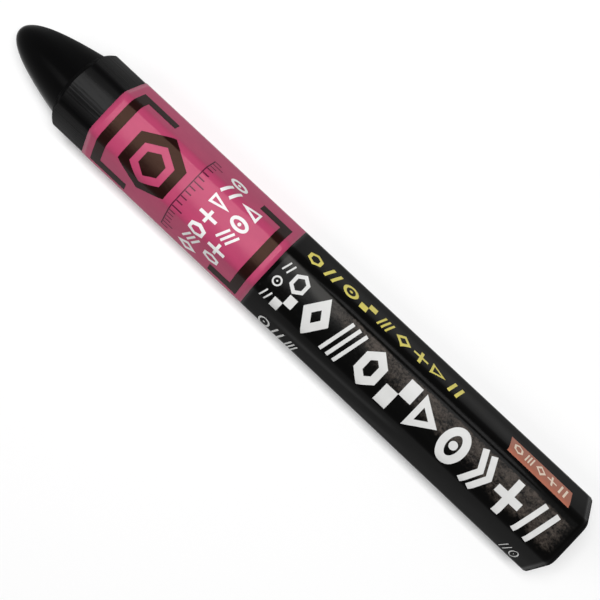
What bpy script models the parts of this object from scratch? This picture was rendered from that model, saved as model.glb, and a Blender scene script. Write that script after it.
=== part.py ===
"""Marking chalk: a moulded six-sided stick with a bullet tip, wrapped in a printed film label.

Metres, +Z up. Every piece is built standing on its tail about the Z axis, with one flat facing +X.
An empty then lays the stick down, nose toward -X, so that the opposite flat rests on Z = 0.
Distances along the stick are measured from the nose. Flats are numbered from the one that faces up,
counting toward +Y, and places across a flat are measured from its middle line.
"""

import math

import bmesh
import bpy
from mathutils import Vector

MM = 0.001

# Moulded stick; the mould's draft makes it wider toward the tail
STICK_LENGTH = 120.0 * MM
SHOULDER_FLATS = 13.6 * MM
TAIL_FLATS = 14.3 * MM
RIDGE_RADIUS = 1.7 * MM
TAIL_EDGE_RADIUS = 0.4 * MM

# Bullet tip; its radius grows with this power of the distance from the nose
TIP_LENGTH = 13.35 * MM
TIP_RADIUS = 6.22 * MM
TIP_POWER = 0.447

# Chamfered shoulder between the tip and the flats, with angles from the stick's axis
SHOULDER_ANGLE = math.radians(53.0)
SHOULDER_EDGE_RADIUS = 0.5 * MM
SHOULDER_EDGE_EXIT = math.radians(8.0)

# Film label, lapped over itself on a lower flat
LABEL_FRONT = 21.0 * MM
LABEL_TAIL_MARGIN = 0.5 * MM
FILM_THICKNESS = 0.05 * MM
FILM_CLEARANCE = 0.02 * MM
SEAM_FLAT = 2
SEAM_OVERLAP = 3.0 * MM
SEAM_RAMP = 0.8 * MM
ADHESIVE_THICKNESS = 0.02 * MM
ADHESIVE_MARGIN = 0.4 * MM

# Printed layers on the film
INK_THICKNESS = 0.02 * MM
LAYER_CLEARANCE = 0.01 * MM
PRINT_MARGIN = 0.15 * MM
PINK_END = 56.4 * MM
BRACKET_BAR = 1.85 * MM
BRACKET_ARM_WIDTH = 1.8 * MM
BRACKET_LEFT_EDGE = -2.6 * MM
BRACKET_RIGHT_EDGE = 0.15 * MM
FRONT_BRACKET_SETBACK = 1.8 * MM
FRONT_BRACKET_LENGTH = 7.5 * MM
REAR_BRACKET_SETBACK = 1.45 * MM
REAR_BRACKET_LENGTH = 6.2 * MM
PATCH_START = 102.65 * MM
PATCH_LENGTH = 13.1 * MM
PATCH_FAR_EDGE = 0.05 * MM

# Fineness of the round shapes
RIDGE_STEPS = 8
TIP_RINGS = 24
TURN_STEPS = 72
SHOULDER_EDGE_STEPS = 4
TAIL_EDGE_STEPS = 3
SHARP_ANGLE = math.radians(25.0)
CUT_MARGIN = 4.0 * MM

# Derived sizes
SIDES = 6
SIDE_ANGLE = 2.0 * math.pi / SIDES
LABEL_END = STICK_LENGTH - LABEL_TAIL_MARGIN
SEAM_STEP = FILM_THICKNESS + ADHESIVE_THICKNESS + 2.0 * LAYER_CLEARANCE
SEAM_START = -SEAM_OVERLAP / 2.0
SEAM_END = SEAM_OVERLAP / 2.0
FILM_FACE = FILM_CLEARANCE + FILM_THICKNESS
GROUND_LIFT = FILM_FACE + LAYER_CLEARANCE
GROUND_FACE = GROUND_LIFT + INK_THICKNESS
MARK_LIFT = GROUND_FACE + LAYER_CLEARANCE


def clear_scene():
    for item in list(bpy.data.objects):
        bpy.data.objects.remove(item, do_unlink=True)


def new_collection(name):
    group = bpy.data.collections.new(name)
    bpy.context.scene.collection.children.link(group)
    return group


def plain_material(name, colour, roughness):
    material = bpy.data.materials.new(name)
    material.use_nodes = True
    shader = material.node_tree.nodes["Principled BSDF"]
    shader.inputs["Base Color"].default_value = (*colour, 1.0)
    shader.inputs["Roughness"].default_value = roughness
    shader.inputs["Metallic"].default_value = 0.0
    return material


def mesh_object(name, bm, group, material=None):
    mesh = bpy.data.meshes.new(name)
    bm.to_mesh(mesh)
    bm.free()
    if material:
        mesh.materials.append(material)
    item = bpy.data.objects.new(name, mesh)
    group.objects.link(item)
    return item


def apply_modifiers(item):
    """Keep the evaluated shape as the object's mesh, shaded smooth up to its real edges."""
    bpy.context.view_layer.update()
    shape = item.evaluated_get(bpy.context.evaluated_depsgraph_get())
    mesh = bpy.data.meshes.new_from_object(shape)
    item.modifiers.clear()
    item.data = mesh
    mesh.shade_smooth()
    mesh.set_sharp_from_angle(angle=SHARP_ANGLE)


def flats_at(distance):
    share = (distance - TIP_LENGTH) / (STICK_LENGTH - TIP_LENGTH)
    return SHOULDER_FLATS + share * (TAIL_FLATS - SHOULDER_FLATS)


def corner_radius(flats):
    """Distance from the axis to the vertices of a hexagon with sharp corners."""
    return flats / 2.0 / math.cos(SIDE_ANGLE / 2.0)


def ridge_reach(flats):
    """Distance from the axis to the crest of a rounded ridge."""
    return corner_radius(flats - 2.0 * RIDGE_RADIUS) + RIDGE_RADIUS


def outward(angle):
    return Vector((math.cos(angle), math.sin(angle), 0.0))


def on_flat(distance, flat, across, lift):
    """Point on a flat, lifted off the chalk."""
    facing = flat * SIDE_ANGLE
    point = outward(facing) * (flats_at(distance) / 2.0 + lift)
    point += outward(facing + math.pi / 2.0) * across
    point.z = STICK_LENGTH - distance
    return point


def round_ridge(distance, flat, lift):
    """Points round the ridge that follows a flat."""
    centre = outward((flat + 0.5) * SIDE_ANGLE) * corner_radius(flats_at(distance) - 2.0 * RIDGE_RADIUS)
    centre.z = STICK_LENGTH - distance
    turns = [flat + step / RIDGE_STEPS for step in range(RIDGE_STEPS + 1)]
    return [centre + outward(turn * SIDE_ANGLE) * (RIDGE_RADIUS + lift) for turn in turns]


def wrap_line(distance, start, end, lift):
    """One turn round the stick that climbs on to its own start at the seam."""
    line = [on_flat(distance, SEAM_FLAT, start, lift)]
    for flat in range(SEAM_FLAT, SEAM_FLAT + SIDES):
        line += round_ridge(distance, flat, lift)
    line.append(on_flat(distance, SEAM_FLAT, SEAM_START - SEAM_RAMP, lift))
    line.append(on_flat(distance, SEAM_FLAT, SEAM_START, lift + SEAM_STEP))
    line.append(on_flat(distance, SEAM_FLAT, end, lift + SEAM_STEP))
    return line


def bracket_line(distance):
    """Across the top flat and over both its ridges, from one arm's outer edge to the other's."""
    left_inner = BRACKET_LEFT_EDGE + BRACKET_ARM_WIDTH
    right_inner = BRACKET_RIGHT_EDGE - BRACKET_ARM_WIDTH
    line = [on_flat(distance, -1, across, MARK_LIFT) for across in (BRACKET_LEFT_EDGE, left_inner)]
    line += round_ridge(distance, -1, MARK_LIFT)
    line += round_ridge(distance, 0, MARK_LIFT)
    line += [on_flat(distance, 1, across, MARK_LIFT) for across in (right_inner, BRACKET_RIGHT_EDGE)]
    return line


def patch_line(distance):
    """From the crest of the ridge beside the top flat out on to the next flat."""
    crest_to_flat = round_ridge(distance, 0, MARK_LIFT)[RIDGE_STEPS // 2:]
    return [*crest_to_flat, on_flat(distance, 1, PATCH_FAR_EDGE, MARK_LIFT)]


def thin_sheet(name, lines, thickness, group, material, open_row=None):
    """Loft from line to line toward the tail, made solid outward.

    In the open row only the first and the last cell are kept.
    """
    bm = bmesh.new()
    rows = [[bm.verts.new(point) for point in line] for line in lines]
    for index, (upper, lower) in enumerate(zip(rows, rows[1:])):
        last = len(upper) - 2
        cells = (0, last) if index == open_row else range(last + 1)
        for cell in cells:
            bm.faces.new((upper[cell], lower[cell], lower[cell + 1], upper[cell + 1]))
    bmesh.ops.delete(bm, geom=[vert for vert in bm.verts if not vert.link_faces], context="VERTS")
    sheet = mesh_object(name, bm, group, material)
    skin = sheet.modifiers.new("thickness", "SOLIDIFY")
    skin.thickness = thickness
    skin.offset = 1.0
    skin.use_even_offset = True
    apply_modifiers(sheet)
    return sheet


def tapered_hexagon(group, material):
    """Six-sided stick, sharp at the front, with round ridges and a round tail edge."""
    bm = bmesh.new()
    bmesh.ops.create_cone(
        bm,
        cap_ends=True,
        segments=SIDES,
        radius1=corner_radius(TAIL_FLATS),
        radius2=corner_radius(flats_at(0.0)),
        depth=STICK_LENGTH,
    )
    bmesh.ops.translate(bm, verts=bm.verts, vec=(0.0, 0.0, STICK_LENGTH / 2.0))
    ridges = [edge for edge in bm.edges if abs(edge.verts[0].co.z - edge.verts[1].co.z) > STICK_LENGTH / 2.0]
    bmesh.ops.bevel(
        bm,
        geom=ridges,
        offset=RIDGE_RADIUS * math.tan(SIDE_ANGLE / 2.0),
        offset_type="OFFSET",
        segments=RIDGE_STEPS,
        profile=0.5,
        affect="EDGES",
    )
    tail_height = TAIL_EDGE_RADIUS / 2.0
    tail_edges = [edge for edge in bm.edges if max(vert.co.z for vert in edge.verts) < tail_height]
    bmesh.ops.bevel(
        bm,
        geom=tail_edges,
        offset=TAIL_EDGE_RADIUS,
        offset_type="OFFSET",
        segments=TAIL_EDGE_STEPS,
        profile=0.5,
        affect="EDGES",
    )
    return mesh_object("chalk_stick", bm, group, material)


def tip_profile():
    """Radius and distance of the tip's outline, from the nose to its base."""
    shares = [ring / TIP_RINGS for ring in range(TIP_RINGS + 1)]
    return [(TIP_RADIUS * share, TIP_LENGTH * share ** (1.0 / TIP_POWER)) for share in shares]


def shoulder_profile():
    """Radius and distance of the chamfer's round outer edge, which ends beyond the ridges."""
    crest = ridge_reach(flats_at(TIP_LENGTH))
    edge_rise = SHOULDER_EDGE_RADIUS * (math.cos(SHOULDER_EDGE_EXIT) - math.cos(SHOULDER_ANGLE))
    edge_start = crest - edge_rise
    chamfer_run = (edge_start - TIP_RADIUS) / math.tan(SHOULDER_ANGLE)
    centre_radius = edge_start - SHOULDER_EDGE_RADIUS * math.cos(SHOULDER_ANGLE)
    centre_distance = TIP_LENGTH + chamfer_run + SHOULDER_EDGE_RADIUS * math.sin(SHOULDER_ANGLE)
    points = []
    for step in range(SHOULDER_EDGE_STEPS + 1):
        slope = SHOULDER_ANGLE + step / SHOULDER_EDGE_STEPS * (SHOULDER_EDGE_EXIT - SHOULDER_ANGLE)
        radius = centre_radius + SHOULDER_EDGE_RADIUS * math.cos(slope)
        distance = centre_distance - SHOULDER_EDGE_RADIUS * math.sin(slope)
        points.append((radius, distance))
    exit_run = TIP_RADIUS * math.sin(SHOULDER_EDGE_EXIT)
    radius, distance = points[-1]
    points.append((radius + exit_run * math.tan(SHOULDER_EDGE_EXIT), distance + exit_run))
    return points


def turned_envelope(group):
    """Turned body that shapes the front of the stick and clears it everywhere else."""
    outline = tip_profile() + shoulder_profile()
    clear_radius = corner_radius(TAIL_FLATS) + CUT_MARGIN
    clear_distance = STICK_LENGTH + CUT_MARGIN
    outline += [(clear_radius, outline[-1][1]), (clear_radius, clear_distance), (0.0, clear_distance)]
    bm = bmesh.new()
    verts = [bm.verts.new((radius, 0.0, STICK_LENGTH - distance)) for radius, distance in outline]
    for upper, lower in zip(verts, verts[1:]):
        bm.edges.new((upper, lower))
    envelope = mesh_object("front_envelope", bm, group)
    envelope.hide_render = True
    envelope.display_type = "WIRE"
    turn = envelope.modifiers.new("turn", "SCREW")
    turn.axis = "Z"
    turn.angle = 2.0 * math.pi
    turn.steps = TURN_STEPS
    turn.render_steps = TURN_STEPS
    turn.use_merge_vertices = True
    turn.merge_threshold = 0.001 * MM
    return envelope


def chalk_stick(group, cutters):
    material = plain_material("black_chalk", (0.014, 0.014, 0.015), 0.36)
    stick = tapered_hexagon(group, material)
    cut = stick.modifiers.new("tip_and_shoulder", "BOOLEAN")
    cut.operation = "INTERSECT"
    cut.solver = "EXACT"
    cut.object = turned_envelope(cutters)
    apply_modifiers(stick)
    return stick


def label_film(group):
    material = plain_material("clear_film", (0.62, 0.60, 0.56), 0.28)
    lines = [wrap_line(place, SEAM_START, SEAM_END, FILM_CLEARANCE) for place in (LABEL_FRONT, LABEL_END)]
    return thin_sheet("label_film", lines, FILM_THICKNESS, group, material)


def seam_adhesive(group):
    material = plain_material("seam_glue", (0.55, 0.52, 0.44), 0.5)
    lift = FILM_FACE + LAYER_CLEARANCE
    ends = (LABEL_FRONT + ADHESIVE_MARGIN, LABEL_END - ADHESIVE_MARGIN)
    edges = (SEAM_START + ADHESIVE_MARGIN, SEAM_END - ADHESIVE_MARGIN)
    lines = [[on_flat(place, SEAM_FLAT, across, lift) for across in edges] for place in ends]
    return thin_sheet("seam_adhesive", lines, ADHESIVE_THICKNESS, group, material)


def ground_print(name, ends, group, material):
    """Ink all round the film, from the edge of the lap to where the film goes under it."""
    start = SEAM_END + PRINT_MARGIN
    end = SEAM_END - PRINT_MARGIN
    lines = [wrap_line(place, start, end, GROUND_LIFT) for place in ends]
    return thin_sheet(name, lines, INK_THICKNESS, group, material)


def ground_prints(group):
    """Pink at the front and black behind it, equally thick, so that the stick lies on both."""
    pink = plain_material("pink_ink", (0.58, 0.085, 0.21), 0.32)
    black = plain_material("black_ink", (0.011, 0.010, 0.010), 0.30)
    return [
        ground_print("pink_print", (LABEL_FRONT, PINK_END), group, pink),
        ground_print("black_print", (PINK_END + LAYER_CLEARANCE, LABEL_END), group, black),
    ]


def bracket_prints(group):
    """Two three-sided frame marks whose arms point at each other."""
    material = plain_material("dark_ink", (0.040, 0.030, 0.022), 0.32)
    front = LABEL_FRONT + FRONT_BRACKET_SETBACK
    front_places = (front, front + BRACKET_BAR, front + FRONT_BRACKET_LENGTH)
    rear = PINK_END - REAR_BRACKET_SETBACK
    rear_places = (rear - REAR_BRACKET_LENGTH, rear - BRACKET_BAR, rear)
    front_lines = [bracket_line(place) for place in front_places]
    rear_lines = [bracket_line(place) for place in rear_places]
    return [
        thin_sheet("front_bracket_print", front_lines, INK_THICKNESS, group, material, open_row=1),
        thin_sheet("rear_bracket_print", rear_lines, INK_THICKNESS, group, material, open_row=0),
    ]


def orange_patch_print(group):
    material = plain_material("orange_ink", (0.43, 0.090, 0.040), 0.32)
    lines = [patch_line(place) for place in (PATCH_START, PATCH_START + PATCH_LENGTH)]
    return thin_sheet("orange_patch_print", lines, INK_THICKNESS, group, material)


def lay_down(pieces, group):
    """Lay the stick on its lower flat, tipped by the draft so that the whole flat touches."""
    draft = math.atan((TAIL_FLATS - SHOULDER_FLATS) / 2.0 / (STICK_LENGTH - TIP_LENGTH))
    rest = bpy.data.objects.new("marking_chalk", None)
    group.objects.link(rest)
    rest.rotation_euler = (0.0, -math.pi / 2.0 - draft, 0.0)
    tail_height = (TAIL_FLATS / 2.0 + GROUND_FACE) * math.cos(draft)
    rest.location = (STICK_LENGTH / 2.0 * math.cos(draft), 0.0, tail_height)
    for piece in pieces:
        piece.parent = rest


def build():
    clear_scene()
    group = new_collection("marking_chalk")
    cutters = new_collection("cutters")
    pieces = [
        chalk_stick(group, cutters),
        label_film(group),
        seam_adhesive(group),
        *ground_prints(group),
        *bracket_prints(group),
        orange_patch_print(group),
    ]
    lay_down(pieces, group)


build()
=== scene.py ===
"""Looks of the marking chalk: a black six-sided stick with a bullet tip in a pink and black film label.

Metres, +Z up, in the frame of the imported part: the stick lies along X on one flat, nose toward -X.
A place on the stick is a distance from the nose and a run round the stick, which starts at the middle
of the top flat and grows toward +Y. What is printed is drawn flat in millimetres, with the distance as
its first coordinate and the run as its second, and is then wrapped round the film.
"""

import math

import bmesh
import bpy
from mathutils import Matrix, Vector, noise


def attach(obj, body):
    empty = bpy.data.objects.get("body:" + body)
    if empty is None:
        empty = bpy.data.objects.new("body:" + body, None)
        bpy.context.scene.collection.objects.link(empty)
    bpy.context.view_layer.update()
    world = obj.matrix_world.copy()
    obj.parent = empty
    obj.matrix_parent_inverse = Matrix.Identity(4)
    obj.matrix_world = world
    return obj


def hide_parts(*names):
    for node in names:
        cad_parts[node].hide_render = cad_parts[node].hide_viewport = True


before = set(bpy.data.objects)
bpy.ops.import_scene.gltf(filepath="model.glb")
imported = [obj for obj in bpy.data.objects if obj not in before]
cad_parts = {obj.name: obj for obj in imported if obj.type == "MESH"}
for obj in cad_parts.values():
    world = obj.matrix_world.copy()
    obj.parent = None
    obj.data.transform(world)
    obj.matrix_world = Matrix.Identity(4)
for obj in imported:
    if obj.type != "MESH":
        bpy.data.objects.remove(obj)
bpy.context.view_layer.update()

MM = 0.001

# Stick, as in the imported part
STICK_LENGTH = 120.0 * MM
SHOULDER_FLATS = 13.6 * MM
TAIL_FLATS = 14.3 * MM
RIDGE_RADIUS = 1.7 * MM
TAIL_EDGE_RADIUS = 0.4 * MM
TIP_LENGTH = 13.35 * MM
TIP_RADIUS = 6.22 * MM
TIP_POWER = 0.447
SHOULDER_ANGLE = math.radians(53.0)
SIDES = 6
SIDE_ANGLE = 2.0 * math.pi / SIDES
NOSE_X = -STICK_LENGTH / 2.0
TAIL_X = STICK_LENGTH / 2.0

# Label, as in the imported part
LABEL_FRONT = 21.0 * MM
LABEL_END = 119.5 * MM
PINK_END = 56.4 * MM
SEAM_FLAT = 2
SEAM_START = -1.5 * MM
SEAM_END = 1.5 * MM
SEAM_RAMP = 0.8 * MM
SEAM_STEP = 0.09 * MM
PRINT_MARGIN = 0.15 * MM
GROUND_FACE = 0.10 * MM

# Print in this scene: how deep the grounds reach inward, and how far from the stick the marks on them lie
GROUND_DEPTH = 0.09 * MM
MARK_FACE = 0.12 * MM
TOP_MARK_FACE = 0.135 * MM

# Brackets and patch on the flat drawing; each bracket has the far side of its bar and the end of its arms
BRACKET_BAR = 1.85
BRACKET_ARM = 1.8
BRACKET_LEFT = -10.4
BRACKET_RIGHT = 7.95
FRONT_BRACKET = (22.8, 30.3)
REAR_BRACKET = (54.95, 48.75)
PATCH_ENDS = (102.65, 115.75)
PATCH_EDGES = (4.02, 8.08)

# Emblem and fine scale on the flat drawing
EMBLEM_CENTRE = (32.0, -1.35)
EMBLEM_SIZE = 9.2
EMBLEM_LINE = 1.7
EMBLEM_CORE = 4.4
SCALE_DISTANCE = 38.4
SCALE_ENDS = (-9.8, 7.4)
SCALE_WEIGHT = 0.22
TICK_COUNT = 18
TICK_START = 38.55
TICK_FIRST = -9.7
TICK_PITCH = 1.0
TICK_GROUP = 5
TICK_LENGTH = 1.2
LONG_TICK_LENGTH = 2.0

# Marks: a hexagon's first corner in degrees, steps round a ring, the least cosine at a mitred corner, and
# shares of a mark's own weight or width
CORNER_ACROSS = 90.0
ROUND_STEPS = 36
MITRE_LIMIT = 0.3
DOT_SIZE = 1.1
BAR_SHARE = 0.55
BAR_SLANT = 0.3
CHEVRON_WEIGHT = 0.8
TRIANGLE_WEIGHT = 0.75

# Density of the meshes; the print values are in millimetres on the flat drawing
TIP_RINGS = 44
SHOULDER_RINGS = 40
SHOULDER_LENGTH = 2.2 * MM
BODY_RINGS = 60
TAIL_RINGS = 6
CHALK_COLUMNS = 40 * SIDES
SHARP_ANGLE = math.radians(40.0)
GROUND_ROW = 0.9 * MM
GROUND_COLUMNS = 54 * SIDES
PRINT_WELD = 0.0001
PRINT_EDGE = 0.45
PRINT_ROUNDS = 6

# Flats swell a little: angle at which they meet their ridges, under the film and on the bare chalk
CROWN_ANGLE = math.radians(3.0)
BARE_CROWN_ANGLE = math.radians(4.5)
TAUT_CROWN_ANGLE = math.radians(1.0)
CROWN_FADE = 2.0 * MM

# Bare chalk: rounding at the shoulder, slight unevenness, and how soon a ridge is smooth, as a share of
# half a flat
SHOULDER_BLEND = 0.25 * MM
TIP_WOBBLE = 0.020 * MM
WOBBLE_SIZE = 4.0 * MM
WOBBLE_FADE = 1.0 * MM
BURNISH_BLEND = 0.25

# Ripples of the film; a slice is a place in the noise
RIPPLE_COARSE = 0.030 * MM
RIPPLE_FINE = 0.010 * MM
RIPPLE_STRETCH = 1.6
COARSE_SIZE = 7.0 * MM
FINE_SIZE = 2.2 * MM
COARSE_SLICE = 3.0
FINE_SLICE = 11.0

# Slack stretch of the film, with a fold beside the top flat
SLACK_HEIGHT = 0.20 * MM
SLACK_ENDS = (54.0 * MM, 120.0 * MM)
SLACK_FADE = 16.0 * MM
FOLD_DEPTH = 0.05 * MM
FOLD_WIDTH = 0.50 * MM
FOLD_LEAD = 0.75
FOLD_REACH = 0.75 * MM
FOLD_STRAIGHTNESS = 0.8
SETTLE_START = 1.5 * MM
SETTLE_LENGTH = 5.0 * MM

# Soft wrinkles beside the top flat: ends along the stick, the run of the line at both ends, height
CREASES = (
    ((58.0 * MM, 91.0 * MM), (-7.8 * MM, -6.5 * MM), 0.110 * MM),
    ((76.0 * MM, 94.0 * MM), (-10.6 * MM, -9.8 * MM), 0.050 * MM),
)
CREASE_FADE = 8.0 * MM
CREASE_RISE = 3.0 * MM
CREASE_FALL = 1.8 * MM

# Where the film clings to the chalk, with a painted sheen that stands for the overhead lamp's reflection on
# the top flat: runs of both borders, in front and behind
CLING_SHEEN_EDGE = (1.8 * MM, -3.7 * MM)
CLING_SHEEN_TOP = (3.38 * MM, 2.70 * MM)
CLING_SHEEN_TOP_LENGTH = 36.0 * MM
CLING_SHEEN_FALL = 0.5 * MM
CLING_SHEEN_SOFTNESS = 2.0 * MM
CLING_SHEEN_RAGGEDNESS = 0.9 * MM
CLING_SHEEN_SLICE = 21.0
CLING_SHEEN_MARGIN = 0.6 * MM
CLING_SHEEN_STOP = 2.0 * MM

# Face-on reflection beside that of plain plastic, and its colour
FILM_GLOSS = 0.13
PINK_GLOSS = 0.22
DARK_GLOSS = 0.122
BLACK_GLOSS = 0.048
CHALK_GLOSS = 0.070
PLAIN_SHEEN = (1.0, 1.0, 1.0)
PINK_SHEEN = (1.0, 0.55, 0.58)
DARK_SHEEN = (1.0, 0.61, 0.44)

# Grains: size along, across and up, then the noise's detail, roughness and distortion
STREAKS = ((40.0 * MM, 1.6 * MM, 1.6 * MM), 4.0, 0.6, 0.0)
LINES = ((60.0 * MM, 0.30 * MM, 0.30 * MM), 2.0, 0.5, 0.0)
GRIT = ((0.22 * MM, 0.22 * MM, 0.22 * MM), 2.0, 0.5, 0.0)
SPECKLE = ((1.4 * MM, 1.4 * MM, 1.4 * MM), 5.0, 0.7, 0.0)
CLOUD = ((6.0 * MM, 3.0 * MM, 3.0 * MM), 4.0, 0.6, 0.0)
SCUFFS = ((3.5 * MM, 0.25 * MM, 0.25 * MM), 3.0, 0.7, 0.4)
PATCHES = ((2.6 * MM, 1.6 * MM, 1.6 * MM), 3.0, 0.55, 0.6)
FLECKS = ((0.55 * MM, 0.45 * MM, 0.45 * MM), 4.0, 0.70, 0.4)
STREAK_DEPTH = 0.03 * MM
LINE_DEPTH = 0.022 * MM
GRIT_DEPTH = 0.002 * MM
INK_SCUFF_DEPTH = 0.003 * MM
BLACK_SCUFF_DEPTH = 0.002 * MM
FLECK_DEPTH = 0.030 * MM

# Chalk: tones with their places on the ramp, roughness, and the fades to its tip and to its cut tail
MOULDED_TONES = ((0.38, (0.0002, 0.0002, 0.0003)), (0.66, (0.0016, 0.0016, 0.0017)))
CUT_TONES = ((0.35, (0.004, 0.004, 0.004)), (0.70, (0.016, 0.016, 0.016)))
STREAK_SPAN = (0.38, 0.60)
STREAK_ROUGHNESS = (0.07, 0.27)
UNBURNISHED_ROUGHNESS = 0.22
TIP_ROUGHNESS = (0.22, 0.60)
TIP_RUB = (1.0 * MM, 3.5 * MM)
MATT_ROUGHNESS = 0.60
TIP_FADE = 0.2 * MM
CUT_FADE = (0.45 * MM, 0.20 * MM)

# Inks, film and glue: the darker and the lighter tone of each, and their places on the ramp
INK_TONES = {
    "pink_ink": ((0.415, 0.050, 0.127), (0.465, 0.058, 0.141)),
    "dark_ink": ((0.010, 0.0024, 0.0024), (0.016, 0.0038, 0.0038)),
    "fine_dark_ink": ((0.085, 0.010, 0.032), (0.105, 0.014, 0.040)),
    "white_ink": ((0.80, 0.79, 0.79), (0.85, 0.84, 0.84)),
    "grey_white_ink": ((0.61, 0.61, 0.60), (0.67, 0.67, 0.66)),
    "yellow_ink": ((0.76, 0.66, 0.12), (0.84, 0.74, 0.17)),
    "orange_ink": ((0.38, 0.134, 0.084), (0.45, 0.159, 0.102)),
    "pale_ink": ((0.82, 0.67, 0.53), (0.88, 0.73, 0.59)),
    "clear_film": ((0.58, 0.56, 0.52), (0.66, 0.64, 0.60)),
    "seam_glue": ((0.50, 0.47, 0.39), (0.58, 0.55, 0.47)),
}
INK_STOPS = (0.30, 0.70)
SCUFF_SPAN = (0.30, 0.75)
INK_ROUGHNESS = (0.09, 0.22)

# Black film: its ink, its painted grey and brown sheen that stands for the overhead lamp's reflection where
# the film clings, and how far behind the pink ground the sheen changes from even to mottled
BLACK_INK = (0.0014, 0.0014, 0.0013)
GREY_PAINTED_SHEEN = (0.064, 0.062, 0.058)
BROWN_PAINTED_SHEEN = (0.070, 0.057, 0.048)
EVEN_SHEEN = (9.0 * MM, 15.0 * MM)
EVEN_SHEEN_LEVEL = 0.52
PATCH_SHARE = 0.35
FLECK_SHARE = 0.65
CLING_SHEEN_GAIN = 0.15
SHEEN_SPAN = (0.54, 0.77)
FLECK_SPAN = (0.30, 0.70)
BLACK_ROUGHNESS = (0.08, 0.20)

# Floor: its colour where it is seen, the share of light that it throws back on the object, and the
# distances from the object between which it passes into the white that is seen all round
FLOOR_SIZE = 3.0
FLOOR_COLOUR = 0.96
FLOOR_BOUNCE = 0.50
FLOOR_FADE = (0.10, 0.26)
FLOOR_GLOSS = 0.1
FLOOR_ROUGHNESS = 0.9

# Softboxes, which face down: place, size along X and Y, and light given off from each point
OVERHEAD_SOFTBOX = ((-0.0125, 0.0565, 0.60), (0.495, 0.187), 13.0)
FRONT_SOFTBOX = ((-0.50, -0.33, 0.60), (0.45, 0.30), 2.5)
WORLD_LIGHT = 0.06

# Camera, straight above, and what it sees across the middle of the stick
CAMERA_DISTANCE_FROM_NOSE = 63.2 * MM
CAMERA_SIDESTEP = -0.9 * MM
CAMERA_HEIGHT = 171.0 * MM
CAMERA_TURN = math.radians(43.214)
CAMERA_NEAR = 10.0 * MM
FIELD_WIDTH = 97.43 * MM
SENSOR_WIDTH = 36.0


def smooth_step(value):
    value = min(max(value, 0.0), 1.0)
    return value * value * (3.0 - 2.0 * value)


def smooth_least(first, second, blend):
    """The smaller of two sizes, rounded where they meet."""
    share = min(max(0.5 + 0.5 * (second - first) / blend, 0.0), 1.0)
    return second + (first - second) * share - blend * share * (1.0 - share)


def flats_at(distance):
    """Size across the flats."""
    share = (distance - TIP_LENGTH) / (STICK_LENGTH - TIP_LENGTH)
    return SHOULDER_FLATS + share * (TAIL_FLATS - SHOULDER_FLATS)


def half_flat(distance):
    """Half the width of a flat, between its round ridges."""
    return (flats_at(distance) / 2.0 - RIDGE_RADIUS) * math.tan(SIDE_ANGLE / 2.0)


def side_length(distance):
    """Run from the middle of one flat to the middle of the next."""
    return 2.0 * half_flat(distance) + RIDGE_RADIUS * SIDE_ANGLE


def outward(angle):
    return Vector((math.cos(angle), math.sin(angle), 0.0))


def lying_down():
    """The part's own placing: built upright on its tail, then laid on the lower flat."""
    draft = math.atan((TAIL_FLATS - SHOULDER_FLATS) / 2.0 / (STICK_LENGTH - TIP_LENGTH))
    place = (STICK_LENGTH / 2.0 * math.cos(draft), 0.0, (TAIL_FLATS / 2.0 + GROUND_FACE) * math.cos(draft))
    return Matrix.Translation(place) @ Matrix.Rotation(-math.pi / 2.0 - draft, 4, "Y")


PLACING = lying_down()


def split_run(distance, run):
    """Number of the nearest flat, and how far from its middle line."""
    side = side_length(distance)
    flat = round(run / side)
    return flat, run - flat * side


def crown_at(distance, flat):
    """Angle at which a flat meets its ridges: none where the stick lies on it, most on the bare chalk."""
    if abs(flat) == SIDES // 2:
        return 0.0
    wrapped = TAUT_CROWN_ANGLE if abs(flat) == 1 else CROWN_ANGLE
    bare = smooth_step((LABEL_FRONT - distance) / CROWN_FADE)
    return wrapped + (BARE_CROWN_ANGLE - wrapped) * bare


def section(distance, run, lift):
    """Point on the hexagon across the stick.

    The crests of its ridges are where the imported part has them. Its flats swell between them, apart from
    the one that the stick lies on.
    """
    flat, across = split_run(distance, run)
    facing = flat * SIDE_ANGLE
    half_angle = SIDE_ANGLE / 2.0
    crown = crown_at(distance, flat)
    rounding = math.tan((half_angle - crown) / 2.0)
    gain = RIDGE_RADIUS * math.sin(half_angle) * (math.tan(half_angle / 2.0) - rounding)
    gain /= math.cos(half_angle) + math.sin(half_angle) * rounding
    apothem = flats_at(distance) / 2.0 + gain
    half = half_flat(distance)
    over = abs(across) - half
    if over <= 0.0:
        swell = math.tan(crown) * (half * half - across * across) / (2.0 * half)
        return outward(facing) * (apothem + lift + swell) + outward(facing + math.pi / 2.0) * across
    radius = (apothem * math.sin(half_angle) - half * math.cos(half_angle)) / math.sin(half_angle - crown)
    centre = apothem * math.cos(half_angle) + half * math.sin(half_angle)
    centre -= radius * math.cos(half_angle - crown)
    turn = crown + over / (RIDGE_RADIUS * half_angle) * (half_angle - crown)
    side = math.copysign(1.0, across)
    return outward(facing + side * half_angle) * centre + outward(facing + side * turn) * (radius + lift)


def flatness(distance, run):
    """1 along the middle of a flat, falling to 0 where its ridges begin."""
    across = split_run(distance, run)[1]
    return max(0.0, 1.0 - (across / half_flat(distance)) ** 2)


def slack(distance):
    """Where along the black print the film is slack, from 0 to 1."""
    start, end = SLACK_ENDS
    return smooth_step((distance - start) / SLACK_FADE) * smooth_step((end - distance) / SLACK_FADE)


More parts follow.
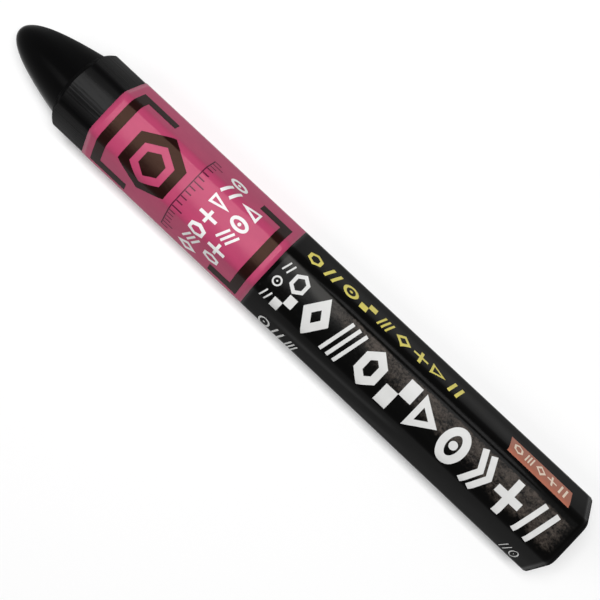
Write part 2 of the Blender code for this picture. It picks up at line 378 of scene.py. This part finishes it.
def stand_off(distance, run):
    """Slack film climbs across the top flat, runs on past its edge to a fold and settles on the next flat."""
    half = half_flat(distance)
    past = min(max(run - half, 0.0), FOLD_REACH)
    climb = SLACK_HEIGHT * min(max((run + half) / (2.0 * half), 0.0), 1.0)
    bridge = FOLD_STRAIGHTNESS * RIDGE_RADIUS * (1.0 - math.cos(past / RIDGE_RADIUS))
    dip = FOLD_DEPTH * smooth_step((run - half) / FOLD_WIDTH + FOLD_LEAD)
    settled = smooth_step((run - half - SETTLE_START) / SETTLE_LENGTH)
    return slack(distance) * (1.0 - settled) * (climb + bridge - dip)


def cling_sheen(distance, run):
    """How closely the film lies on the top flat and how much painted lamp sheen it shows there, from 0 to 1:
    on a strip in front, on most of it behind.
    """
    share = (distance - PINK_END) / (LABEL_END - PINK_END)
    low = CLING_SHEEN_EDGE[0] + (CLING_SHEEN_EDGE[1] - CLING_SHEEN_EDGE[0]) * share
    low += CLING_SHEEN_RAGGEDNESS * noise.noise(Vector((distance / COARSE_SIZE, run / COARSE_SIZE, CLING_SHEEN_SLICE)))
    drop = min((distance - PINK_END) / CLING_SHEEN_TOP_LENGTH, 1.0)
    high = CLING_SHEEN_TOP[0] + (CLING_SHEEN_TOP[1] - CLING_SHEEN_TOP[0]) * drop
    across = smooth_step((run - low) / CLING_SHEEN_SOFTNESS + 0.5) * smooth_step((high - run) / CLING_SHEEN_FALL)
    return across * smooth_step((LABEL_END - CLING_SHEEN_MARGIN - distance) / CLING_SHEEN_STOP)


def creases(distance, run):
    """Height of the wrinkles: the film climbs as it goes out from a ridge and drops at a slanting line."""
    height = 0.0
    for (start, end), (first, last), rise in CREASES:
        line = first + (last - first) * (distance - start) / (end - start)
        shown = smooth_step((distance - start) / CREASE_FADE) * smooth_step((end - distance) / CREASE_FADE)
        crest = line + CREASE_FALL / 2.0
        up = smooth_step((crest + CREASE_RISE - run) / CREASE_RISE)
        down = smooth_step((crest - run) / CREASE_FALL)
        height += rise * shown * (up - down)
    return height


def film_lift(distance, run):
    """How far the film stands off its tight place: ripples, the lap of its seam, slack and wrinkles."""
    side = side_length(distance)
    flat = split_run(distance, run)[0]
    coarse_run = run / COARSE_SIZE * RIPPLE_STRETCH
    coarse = noise.noise(Vector((distance / COARSE_SIZE, coarse_run, COARSE_SLICE)))
    fine = noise.noise(Vector((distance / FINE_SIZE, run / FINE_SIZE, FINE_SLICE)))
    ripple = RIPPLE_COARSE * (1.0 + coarse) / 2.0 + RIPPLE_FINE * (1.0 + fine) / 2.0
    ripple *= 0.0 if abs(flat) == SIDES // 2 else flatness(distance, run)
    lap = SEAM_STEP * smooth_step((run - SEAM_FLAT * side - SEAM_START + SEAM_RAMP) / SEAM_RAMP)
    return ripple + lap + stand_off(distance, run) + creases(distance, run)


def film_point(distance, run, lift):
    point = section(distance, run, lift + film_lift(distance, run))
    point.z = STICK_LENGTH - distance
    return PLACING @ point


def node(tree, kind, inputs=None, **settings):
    """New node with these settings; an input is a value or the output that feeds it."""
    item = tree.nodes.new(kind)
    for name, value in settings.items():
        setattr(item, name, value)
    for name, value in (inputs or {}).items():
        socket = item.inputs[name]
        if isinstance(value, bpy.types.NodeSocket):
            tree.links.new(value, socket)
        else:
            socket.default_value = value
    return item


def object_place(tree):
    return node(tree, "ShaderNodeTexCoord").outputs["Object"]


def axes(tree):
    """The coordinates of a place in the part's frame."""
    return node(tree, "ShaderNodeSeparateXYZ", {"Vector": object_place(tree)}).outputs


def attribute(tree, name):
    return node(tree, "ShaderNodeAttribute", attribute_name=name).outputs["Fac"]


def grain(tree, sizes, detail, roughness, distortion):
    """Noise whose spots are about this long, wide and high, in metres."""
    scale = tuple(1.0 / size for size in sizes)
    mapped = node(tree, "ShaderNodeMapping", {"Vector": object_place(tree), "Scale": scale}).outputs["Vector"]
    settings = {"Vector": mapped, "Scale": 1.0, "Detail": detail}
    settings.update({"Roughness": roughness, "Distortion": distortion})
    return node(tree, "ShaderNodeTexNoise", settings).outputs["Fac"]


def spread(tree, value, low, high, to_low, to_high):
    """Map a value from one span to another, held at the ends."""
    settings = {"Value": value, "From Min": low, "From Max": high, "To Min": to_low, "To Max": to_high}
    return node(tree, "ShaderNodeMapRange", settings, clamp=True).outputs["Result"]


def maths(tree, operation, first, second):
    return node(tree, "ShaderNodeMath", {0: first, 1: second}, operation=operation).outputs["Value"]


def times(tree, first, second):
    return maths(tree, "MULTIPLY", first, second)


def plus(tree, first, second):
    return maths(tree, "ADD", first, second)


def mix_numbers(tree, share, first, second):
    """Pass from the first number to the second; the node's number sockets are 2, 3 and 0."""
    return node(tree, "ShaderNodeMix", {"Factor": share, 2: first, 3: second}).outputs[0]


def mix_colours(tree, share, first, second):
    """Pass from the first colour to the second; the node's colour sockets are 6, 7 and 2."""
    return node(tree, "ShaderNodeMix", {"Factor": share, 6: first, 7: second}, data_type="RGBA").outputs[2]


def colours(tree, value, *stops):
    """Colour ramp from pairs of position and colour."""
    ramp = node(tree, "ShaderNodeValToRGB", {"Fac": value})
    steps = ramp.color_ramp.elements
    while len(steps) < len(stops):
        steps.new(1.0)
    for step, (position, colour) in zip(steps, stops):
        step.position = position
        step.color = (*colour, 1.0)
    return ramp.outputs["Color"]


def bump(tree, height, depth, normal=None):
    inputs = {"Height": height, "Strength": 1.0, "Distance": depth}
    if normal:
        inputs["Normal"] = normal
    return node(tree, "ShaderNodeBump", inputs).outputs["Normal"]


def new_material(name, gloss):
    """Material with a shader whose face-on reflection is this share of plain plastic's."""
    material = bpy.data.materials.new(name)
    material.use_nodes = True
    tree = material.node_tree
    shader = tree.nodes["Principled BSDF"]
    shader.inputs["Specular IOR Level"].default_value = gloss / 2.0
    return material, tree, shader


def chalk_roughness(tree, streaks, body, tail):
    """Satin in streaks, smoother where burnished, dull on one side of the tip, matt on shoulder and cut."""
    streaked = spread(tree, streaks, *STREAK_SPAN, *STREAK_ROUGHNESS)
    unburnished = spread(tree, attribute(tree, "burnish"), 0.0, 1.0, UNBURNISHED_ROUGHNESS, 0.0)
    satin = times(tree, plus(tree, streaked, unburnished), body)
    rubbed = spread(tree, axes(tree)["Y"], *TIP_RUB, *TIP_ROUGHNESS)
    tip = times(tree, rubbed, spread(tree, body, 0.0, 1.0, 1.0, 0.0))
    matt = times(tree, plus(tree, attribute(tree, "chamfer"), tail), MATT_ROUGHNESS)
    return plus(tree, satin, plus(tree, tip, matt))


def chalk_material():
    """Wax-bound chalk: satin and drawn out in streaks along the flats, smooth on the tip, cut at the tail."""
    material, tree, shader = new_material("black_chalk", CHALK_GLOSS)
    along = axes(tree)["X"]
    shoulder = NOSE_X + TIP_LENGTH
    body = spread(tree, along, shoulder, shoulder + TIP_FADE, 0.0, 1.0)
    tail = spread(tree, along, TAIL_X - CUT_FADE[0], TAIL_X - CUT_FADE[1], 0.0, 1.0)
    streaks = grain(tree, *STREAKS)
    drawn = times(tree, streaks, body)
    moulded = colours(tree, drawn, *MOULDED_TONES)
    cut = colours(tree, grain(tree, *SPECKLE), *CUT_TONES)
    tree.links.new(mix_colours(tree, tail, moulded, cut), shader.inputs["Base Color"])
    tree.links.new(chalk_roughness(tree, streaks, body, tail), shader.inputs["Roughness"])
    gritty = bump(tree, grain(tree, *GRIT), GRIT_DEPTH)
    lined = bump(tree, times(tree, grain(tree, *LINES), body), LINE_DEPTH, gritty)
    tree.links.new(bump(tree, drawn, STREAK_DEPTH, lined), shader.inputs["Normal"])
    return material


def ink_material(name, gloss=FILM_GLOSS, sheen=PLAIN_SHEEN):
    """Print under a glossy film: colour that varies a little, uneven gloss, faint scuffs."""
    material, tree, shader = new_material(name, gloss)
    tones = zip(INK_STOPS, INK_TONES[name])
    scuffs = grain(tree, *SCUFFS)
    tree.links.new(colours(tree, grain(tree, *CLOUD), *tones), shader.inputs["Base Color"])
    tree.links.new(spread(tree, scuffs, *SCUFF_SPAN, *INK_ROUGHNESS), shader.inputs["Roughness"])
    tree.links.new(bump(tree, scuffs, INK_SCUFF_DEPTH), shader.inputs["Normal"])
    shader.inputs["Specular Tint"].default_value = (*sheen, 1.0)
    return material


def black_film_material():
    """Black print with a painted sheen for the overhead lamp's reflection where the film clings: even and
    grey in front, mottled brown behind.
    """
    material, tree, shader = new_material("black_ink", BLACK_GLOSS)
    # held carries the painted sheen of the overhead lamp where the film clings to the chalk
    held = attribute(tree, "cling_sheen")
    start = NOSE_X + PINK_END
    behind = spread(tree, axes(tree)["X"], start + EVEN_SHEEN[0], start + EVEN_SHEEN[1], 0.0, 1.0)
    flecks = grain(tree, *FLECKS)
    mottle = plus(tree, times(tree, grain(tree, *PATCHES), PATCH_SHARE), times(tree, flecks, FLECK_SHARE))
    uneven = mix_numbers(tree, behind, EVEN_SHEEN_LEVEL, mottle)
    sheen_level = spread(tree, plus(tree, uneven, times(tree, held, CLING_SHEEN_GAIN)), *SHEEN_SPAN, 0.0, 1.0)
    shown = times(tree, held, sheen_level)
    # Base colour: black ink lifted to a painted grey or brown sheen, in place of the overhead lamp's
    # reflection
    grey = colours(tree, shown, (0.0, BLACK_INK), (1.0, GREY_PAINTED_SHEEN))
    brown = colours(tree, shown, (0.0, BLACK_INK), (1.0, BROWN_PAINTED_SHEEN))
    tree.links.new(mix_colours(tree, behind, grey, brown), shader.inputs["Base Color"])
    tree.links.new(spread(tree, flecks, *FLECK_SPAN, *BLACK_ROUGHNESS), shader.inputs["Roughness"])
    scuffed = bump(tree, grain(tree, *SCUFFS), BLACK_SCUFF_DEPTH)
    lumps = times(tree, flecks, times(tree, held, behind))
    tree.links.new(bump(tree, lumps, FLECK_DEPTH, scuffed), shader.inputs["Normal"])
    return material


def new_piece(name, bm, material, nodes=()):
    """Object from a mesh; it rides on the part and may stand for some of its nodes."""
    mesh = bpy.data.meshes.new(name)
    bm.to_mesh(mesh)
    bm.free()
    mesh.materials.append(material)
    mesh.shade_smooth()
    piece = bpy.data.objects.new(name, mesh)
    bpy.context.scene.collection.objects.link(piece)
    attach(piece, "root")
    if nodes:
        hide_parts(*nodes)
    return piece


def add_grid(bm, rows):
    """Quads between rows of points, wound so that they face out when rows run toward the tail."""
    verts = [[bm.verts.new(point) for point in row] for row in rows]
    for upper, lower in zip(verts, verts[1:]):
        for cell in range(len(upper) - 1):
            bm.faces.new((upper[cell], lower[cell], lower[cell + 1], upper[cell + 1]))
    return verts


def envelope(distance):
    """Radius that the tip and the chamfered shoulder leave at a distance from the nose."""
    if distance < TIP_LENGTH:
        return TIP_RADIUS * (distance / TIP_LENGTH) ** TIP_POWER
    return TIP_RADIUS + (distance - TIP_LENGTH) * math.tan(SHOULDER_ANGLE)


def tail_round(distance):
    """How much the rounded tail edge takes off the stick near its end."""
    depth = TAIL_EDGE_RADIUS - (STICK_LENGTH - distance)
    if depth <= 0.0:
        return 0.0
    return TAIL_EDGE_RADIUS - math.sqrt(max(TAIL_EDGE_RADIUS ** 2 - depth ** 2, 0.0))


def shares(count):
    """Equal steps up to 1, without the 0."""
    return [step / count for step in range(1, count + 1)]


def chalk_rings():
    """Distances of the stick's rings, close together on the tip, the shoulder and the tail edge."""
    tip = [TIP_LENGTH * share ** (1.0 / TIP_POWER) for share in shares(TIP_RINGS)]
    shoulder = [TIP_LENGTH + SHOULDER_LENGTH * share for share in shares(SHOULDER_RINGS)]
    span = STICK_LENGTH - TAIL_EDGE_RADIUS - shoulder[-1]
    body = [shoulder[-1] + span * share for share in shares(BODY_RINGS)]
    bends = [1.0 - math.sin(math.pi / 2.0 * share) for share in shares(TAIL_RINGS)]
    return tip + shoulder + body + [STICK_LENGTH - TAIL_EDGE_RADIUS * bend for bend in bends]


def chalk_point(distance, turn):
    """Point on the stick; turn counts flats round it."""
    point = section(distance, turn * side_length(distance), 0.0)
    reach = point.length - tail_round(distance)
    reach = smooth_least(reach, envelope(distance), SHOULDER_BLEND)
    wobble = noise.noise(Vector((distance, point.x, point.y)) / WOBBLE_SIZE)
    bare = smooth_step((LABEL_FRONT - distance) / WOBBLE_FADE) * smooth_step(distance / WOBBLE_FADE)
    point *= (reach + TIP_WOBBLE * wobble * bare) / point.length
    point.z = STICK_LENGTH - distance
    return PLACING @ point


def burnish(distance, turn):
    """How smooth handling has left the chalk: 1 on ridges and the middle of flats, 0 where they meet."""
    share = abs(turn - round(turn)) * side_length(distance) / half_flat(distance)
    return 1.0 - share * share if share < 1.0 else smooth_step((share - 1.0) / BURNISH_BLEND)


def chamfer(distance, turn):
    """1 where the shoulder has cut the hexagon back, falling to 0 on the round edge behind it."""
    if distance <= TIP_LENGTH:
        return 0.0
    reach = section(distance, turn * side_length(distance), 0.0).length
    return smooth_step((reach - envelope(distance)) / SHOULDER_BLEND + 1.0)


def chalk_body():
    turns = [SIDES * column / CHALK_COLUMNS - SIDES / 2.0 for column in range(CHALK_COLUMNS)]
    bm = bmesh.new()
    burnish_layer = bm.verts.layers.float.new("burnish")
    chamfer_layer = bm.verts.layers.float.new("chamfer")
    rings = []
    for distance in chalk_rings():
        rings.append([bm.verts.new(chalk_point(distance, turn)) for turn in turns])
        for vert, turn in zip(rings[-1], turns):
            vert[burnish_layer] = burnish(distance, turn)
            vert[chamfer_layer] = chamfer(distance, turn)
    nose = bm.verts.new(PLACING @ Vector((0.0, 0.0, STICK_LENGTH)))
    for column in range(CHALK_COLUMNS):
        beside = (column + 1) % CHALK_COLUMNS
        bm.faces.new((nose, rings[0][column], rings[0][beside]))
        for upper, lower in zip(rings, rings[1:]):
            bm.faces.new((upper[column], lower[column], lower[beside], upper[beside]))
    bm.faces.new(list(reversed(rings[-1])))
    piece = new_piece("chalk_body", bm, chalk_material(), ["chalk_stick"])
    piece.data.set_sharp_from_angle(angle=SHARP_ANGLE)


def ground_runs(distance):
    """Runs of a ground's columns, once round the film and a margin short of its outer edge on both sides."""
    side = side_length(distance)
    first = (SEAM_FLAT - SIDES) * side + SEAM_END + PRINT_MARGIN
    last = SEAM_FLAT * side + SEAM_END - PRINT_MARGIN
    return [first + (last - first) * column / GROUND_COLUMNS for column in range(GROUND_COLUMNS + 1)]


def ground_piece(name, ends, material, cad_node):
    """Printed ground round the whole film, thickened inward so that its ends show an edge."""
    rows = round((ends[1] - ends[0]) / GROUND_ROW)
    distances = [ends[0] + (ends[1] - ends[0]) * row / rows for row in range(rows + 1)]
    places = [[(distance, run) for run in ground_runs(distance)] for distance in distances]
    bm = bmesh.new()
    # Each point keeps how much painted lamp sheen the black print shows where the film clings
    cling_sheen_layer = bm.verts.layers.float.new("cling_sheen")
    verts = add_grid(bm, [[film_point(*place, GROUND_FACE) for place in row] for row in places])
    for row_verts, row_places in zip(verts, places):
        for vert, place in zip(row_verts, row_places):
            vert[cling_sheen_layer] = cling_sheen(*place)
    piece = new_piece(name, bm, material, [cad_node])
    skin = piece.modifiers.new("film edge", "SOLIDIFY")
    skin.thickness = GROUND_DEPTH
    skin.offset = -1.0


def fill(bm, outline):
    bm.faces.new([bm.verts.new((x, y, 0.0)) for x, y in outline])


def stroke(bm, points, width, closed=False):
    """Ribbon of one width along a line of points, with mitred corners."""
    line = [Vector(point) for point in points]
    count = len(line)
    edges = []
    for index, point in enumerate(line):
        before = line[index - 1] if index > 0 or closed else point
        after = line[(index + 1) % count] if index < count - 1 or closed else point
        headings = [step.normalized() for step in (point - before, after - point) if step.length > 0.0]
        along = sum(headings, Vector((0.0, 0.0))).normalized()
        across = Vector((-along.y, along.x))
        reach = width / 2.0 / max(along.dot(headings[0]), MITRE_LIMIT)
        edges.append((point + across * reach, point - across * reach))
    following = edges[1:] + edges[:1] if closed else edges[1:]
    for (left, right), (next_left, next_right) in zip(edges, following):
        fill(bm, (left, right, next_right, next_left))


def ellipse(x, y, width, height, start=0.0, steps=ROUND_STEPS):
    """Points round an ellipse, or round a polygon where the steps are few."""
    angles = [math.radians(start + 360.0 * step / steps) for step in range(steps)]
    return [(x + width / 2.0 * math.cos(angle), y + height / 2.0 * math.sin(angle)) for angle in angles]


def outline_mark(corners, start=0.0, dotted=False):
    """Kind of mark: a ring or polygon drawn as a line, with or without a dot in the middle."""
    def draw(bm, x, y, width, height, weight):
        stroke(bm, ellipse(x, y, width - weight, height - weight, start, corners), weight, closed=True)
        if dotted:
            fill(bm, ellipse(x, y, weight * DOT_SIZE, weight * DOT_SIZE))
    return draw


def bars_mark(count):
    """Kind of mark: bars side by side, leaning by a share of the mark's width."""
    def draw(bm, x, y, width, height, weight):
        lean = BAR_SLANT * width / 2.0
        bar = min(weight, BAR_SHARE * (width - 2.0 * lean) / count)
        reach = (width - bar) / 2.0 - lean
        for index in range(count):
            middle = x - reach + 2.0 * reach * index / (count - 1)
            stroke(bm, ((middle - lean, y - height / 2.0), (middle + lean, y + height / 2.0)), bar)
    return draw


def triangle_mark(facing):
    """Kind of mark: a triangle that points along the stick, toward the tail or the nose."""
    def draw(bm, x, y, width, height, weight):
        line = TRIANGLE_WEIGHT * weight
        back = x - facing * (width - line) / 2.0
        point = x + facing * (width / 2.0 - line)
        reach = height / 2.0 - line
        stroke(bm, ((back, y - reach), (point, y), (back, y + reach)), line, closed=True)
    return draw


def chevrons_mark(bm, x, y, width, height, weight):
    """Two chevrons, each a third of the mark's width from its ends to its point."""
    for shift in (-1.0, 1.0):
        middle = x + shift * (width - weight) / 4.0
        back, point = middle - width / 6.0, middle + width / 6.0
        stroke(bm, ((back, y - height / 2.0), (point, y), (back, y + height / 2.0)), weight * CHEVRON_WEIGHT)


def plus_mark(bm, x, y, width, height, weight):
    half, right, top = weight / 2.0, width / 2.0, height / 2.0
    corner = [(right, half), (half, half), (half, top)]
    outline = corner + [(-a, b) for a, b in reversed(corner)]
    outline += [(-a, -b) for a, b in corner] + [(a, -b) for a, b in reversed(corner)]
    fill(bm, [(x + a, y + b) for a, b in outline])


def checker_mark(bm, x, y, width, height, weight):
    """Two filled boxes that meet at a corner; they have no line, so the weight isn't used."""
    for side in (-1.0, 1.0):
        across, up = side * width / 2.0, side * height / 2.0
        fill(bm, ((x, y), (x + across, y), (x + across, y + up), (x, y + up)))


RING = outline_mark(ROUND_STEPS, dotted=True)
HEXAGON = outline_mark(SIDES, CORNER_ACROSS)
DIAMOND = outline_mark(4)
TRIANGLE = triangle_mark(1.0)
TURNED_TRIANGLE = triangle_mark(-1.0)
SLASHES = bars_mark(2)
STRIPES = bars_mark(3)

# Rows of marks on the flat drawing: first place, step to the next, size along and across the stick,
# weight of the lines, and the marks themselves. The white rows cross the pink ground.
WHITE_ROWS = (
    ((43.9, 6.9), (0.0, -2.7), (3.4, 2.2), 0.56,
     (RING, SLASHES, TRIANGLE, plus_mark, HEXAGON, STRIPES, DIAMOND)),
    ((48.3, 3.9), (0.0, -2.7), (3.4, 2.2), 0.56,
     (TURNED_TRIANGLE, RING, STRIPES, plus_mark, HEXAGON)),
)
# The large row along the top of the black ground, and the small marks about it
GREY_WHITE_ROWS = (
    ((66.8, -1.1), (5.85, 0.0), (4.9, 6.4), 1.35,
     (DIAMOND, STRIPES, HEXAGON, checker_mark, TRIANGLE, RING, chevrons_mark, plus_mark, SLASHES)),
    ((61.6, 0.8), (0.0, -3.9), (3.2, 3.6), 0.6, (HEXAGON, checker_mark)),
    ((58.6, 1.6), (0.0, -2.75), (1.7, 1.7), 0.28, (SLASHES, RING, SLASHES)),
    ((61.3, -10.3), (2.9, 0.0), (2.3, 2.6), 0.36, (RING, SLASHES, STRIPES)),
    ((114.1, -9.6), (1.8, 0.0), (1.4, 2.6), 0.20, (SLASHES, RING)),
)
YELLOW_ROWS = (
    ((60.7, 6.3), (3.77, 0.0), (3.0, 3.5), 0.60,
     (HEXAGON, SLASHES, RING, checker_mark, STRIPES, DIAMOND, plus_mark, TRIANGLE, SLASHES)),
)
PATCH_ROWS = (
    ((104.4, 6.1), (2.4, 0.0), (2.0, 2.5), 0.38, (HEXAGON, STRIPES, DIAMOND, plus_mark, SLASHES)),
)


def wrapped_piece(name, bm, lift, material, nodes=()):
    """Turn a flat drawing in millimetres into print on the film."""
    bmesh.ops.remove_doubles(bm, verts=bm.verts, dist=PRINT_WELD)
    bm.normal_update()
    bmesh.ops.triangulate(bm, faces=bm.faces)
    for _ in range(PRINT_ROUNDS):
        long_edges = [edge for edge in bm.edges if edge.calc_length() > PRINT_EDGE]
        if not long_edges:
            break
        bmesh.ops.subdivide_edges(bm, edges=long_edges, cuts=1)
        bmesh.ops.triangulate(bm, faces=[face for face in bm.faces if len(face.verts) > 3])
    bm.normal_update()
    for face in bm.faces:
        if face.normal.z < 0.0:
            face.normal_flip()
    for vert in bm.verts:
        vert.co = film_point(vert.co.x * MM, vert.co.y * MM, lift)
    new_piece(name, bm, material, nodes)


def bracket(name, ends, material, cad_node):
    """Three-sided frame mark: a bar across the stick and two arms along it."""
    bar_end, arm_end = ends
    inner = bar_end + math.copysign(BRACKET_BAR, arm_end - bar_end)
    low, high = BRACKET_LEFT + BRACKET_ARM, BRACKET_RIGHT - BRACKET_ARM
    outline = [(bar_end, BRACKET_LEFT), (arm_end, BRACKET_LEFT), (arm_end, low), (inner, low)]
    outline += [(inner, high), (arm_end, high), (arm_end, BRACKET_RIGHT), (bar_end, BRACKET_RIGHT)]
    bm = bmesh.new()
    fill(bm, outline)
    wrapped_piece(name, bm, MARK_FACE, material, [cad_node])


def emblem(material):
    """Section of the stick as a plain sign: a hexagon in a hexagon."""
    bm = bmesh.new()
    outer = ellipse(*EMBLEM_CENTRE, EMBLEM_SIZE, EMBLEM_SIZE, CORNER_ACROSS, SIDES)
    stroke(bm, outer, EMBLEM_LINE, closed=True)
    fill(bm, ellipse(*EMBLEM_CENTRE, EMBLEM_CORE, EMBLEM_CORE, CORNER_ACROSS, SIDES))
    wrapped_piece("emblem", bm, MARK_FACE, material)


def graduations(material):
    """Fine scale across the stick, a long tick at each fifth place."""
    bm = bmesh.new()
    stroke(bm, [(SCALE_DISTANCE, end) for end in SCALE_ENDS], SCALE_WEIGHT)
    for tick in range(TICK_COUNT):
        length = LONG_TICK_LENGTH if tick % TICK_GROUP == 1 else TICK_LENGTH
        run = TICK_FIRST + tick * TICK_PITCH
        stroke(bm, ((TICK_START, run), (TICK_START + length, run)), SCALE_WEIGHT)
    wrapped_piece("graduations", bm, MARK_FACE, material)


def marks_piece(name, rows, lift, material):
    bm = bmesh.new()
    for first, step, size, weight, marks in rows:
        for index, mark in enumerate(marks):
            mark(bm, first[0] + index * step[0], first[1] + index * step[1], *size, weight)
    wrapped_piece(name, bm, lift, material)


def orange_patch(material):
    bm = bmesh.new()
    (low, high), (near, far) = PATCH_ENDS, PATCH_EDGES
    fill(bm, ((low, near), (high, near), (high, far), (low, far)))
    wrapped_piece("orange_patch", bm, MARK_FACE, material, ["orange_patch_print"])


def label():
    pink = ink_material("pink_ink", PINK_GLOSS, PINK_SHEEN)
    dark = ink_material("dark_ink", DARK_GLOSS, DARK_SHEEN)
    ground_piece("pink_ground", (LABEL_FRONT, PINK_END), pink, "pink_print")
    ground_piece("black_ground", (PINK_END, LABEL_END), black_film_material(), "black_print")
    bracket("front_bracket", FRONT_BRACKET, dark, "front_bracket_print")
    bracket("rear_bracket", REAR_BRACKET, dark, "rear_bracket_print")
    emblem(dark)
    graduations(ink_material("fine_dark_ink"))
    marks_piece("white_marks", WHITE_ROWS, TOP_MARK_FACE, ink_material("white_ink"))
    marks_piece("grey_white_marks", GREY_WHITE_ROWS, TOP_MARK_FACE, ink_material("grey_white_ink"))
    marks_piece("yellow_marks", YELLOW_ROWS, MARK_FACE, ink_material("yellow_ink"))
    orange_patch(ink_material("orange_ink"))
    marks_piece("patch_marks", PATCH_ROWS, TOP_MARK_FACE, ink_material("pale_ink"))


def hidden_layers():
    """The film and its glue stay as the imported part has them, with materials of their own."""
    for name, ink in (("label_film", "clear_film"), ("seam_adhesive", "seam_glue")):
        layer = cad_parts[name]
        layer.data.materials.clear()
        layer.data.materials.append(ink_material(ink))


def seen_rays(tree):
    """1 for a ray that shows the surroundings, seen, mirrored or through glass; 0 for one that lights."""
    ray = node(tree, "ShaderNodeLightPath").outputs
    seen = ray["Is Camera Ray"]
    for kind in ("Is Glossy Ray", "Is Transmission Ray"):
        seen = maths(tree, "MAXIMUM", seen, ray[kind])
    return seen


def floor_material():
    """Pale ground that keeps the shadow near the object and is seen as white away from it."""
    material, tree, shader = new_material("pale_floor", FLOOR_GLOSS)
    seen = seen_rays(tree)
    tree.links.new(spread(tree, seen, 0.0, 1.0, FLOOR_BOUNCE, FLOOR_COLOUR), shader.inputs["Base Color"])
    shader.inputs["Roughness"].default_value = FLOOR_ROUGHNESS
    reach = node(tree, "ShaderNodeVectorMath", {0: object_place(tree)}, operation="LENGTH").outputs["Value"]
    far = times(tree, seen, spread(tree, reach, *FLOOR_FADE, 0.0, 1.0))
    white = node(tree, "ShaderNodeEmission").outputs["Emission"]
    surface = node(tree, "ShaderNodeMixShader", {"Fac": far, 1: shader.outputs["BSDF"], 2: white})
    tree.links.new(surface.outputs["Shader"], tree.nodes["Material Output"].inputs["Surface"])
    return material


def floor():
    bm = bmesh.new()
    bmesh.ops.create_grid(bm, x_segments=1, y_segments=1, size=FLOOR_SIZE)
    mesh = bpy.data.meshes.new("floor")
    bm.to_mesh(mesh)
    bm.free()
    mesh.materials.append(floor_material())
    plane = bpy.data.objects.new("floor", mesh)
    bpy.context.scene.collection.objects.link(plane)


def softbox(name, place, size, radiance):
    """Rectangular lamp that faces down and gives off this much light from each point of its face."""
    lamp = bpy.data.lights.new(name, "AREA")
    lamp.shape = "RECTANGLE"
    lamp.size, lamp.size_y = size
    lamp.energy = radiance * math.pi * size[0] * size[1]
    item = bpy.data.objects.new(name, lamp)
    item.location = place
    bpy.context.scene.collection.objects.link(item)


def surroundings():
    """White where it is seen, and a faint light from all sides."""
    world = bpy.data.worlds.new("studio")
    world.use_nodes = True
    tree = world.node_tree
    sky = tree.nodes["Background"]
    sky.inputs["Color"].default_value = (1.0, 1.0, 1.0, 1.0)
    tree.links.new(spread(tree, seen_rays(tree), 0.0, 1.0, WORLD_LIGHT, 1.0), sky.inputs["Strength"])
    bpy.context.scene.world = world


def camera():
    lens = bpy.data.cameras.new("camera")
    lens.sensor_width = SENSOR_WIDTH
    lens.lens = SENSOR_WIDTH * CAMERA_HEIGHT / FIELD_WIDTH
    lens.clip_start = CAMERA_NEAR
    item = bpy.data.objects.new("camera", lens)
    axis_height = (PLACING @ Vector((0.0, 0.0, STICK_LENGTH - CAMERA_DISTANCE_FROM_NOSE))).z
    item.location = (NOSE_X + CAMERA_DISTANCE_FROM_NOSE, CAMERA_SIDESTEP, axis_height + CAMERA_HEIGHT)
    item.rotation_euler = (0.0, 0.0, CAMERA_TURN)
    bpy.context.scene.collection.objects.link(item)
    bpy.context.scene.camera = item


chalk_body()
label()
hidden_layers()
floor()
softbox("overhead_softbox", *OVERHEAD_SOFTBOX)
softbox("front_softbox", *FRONT_SOFTBOX)
surroundings()
camera()
bpy.context.scene.view_settings.view_transform = "Standard"
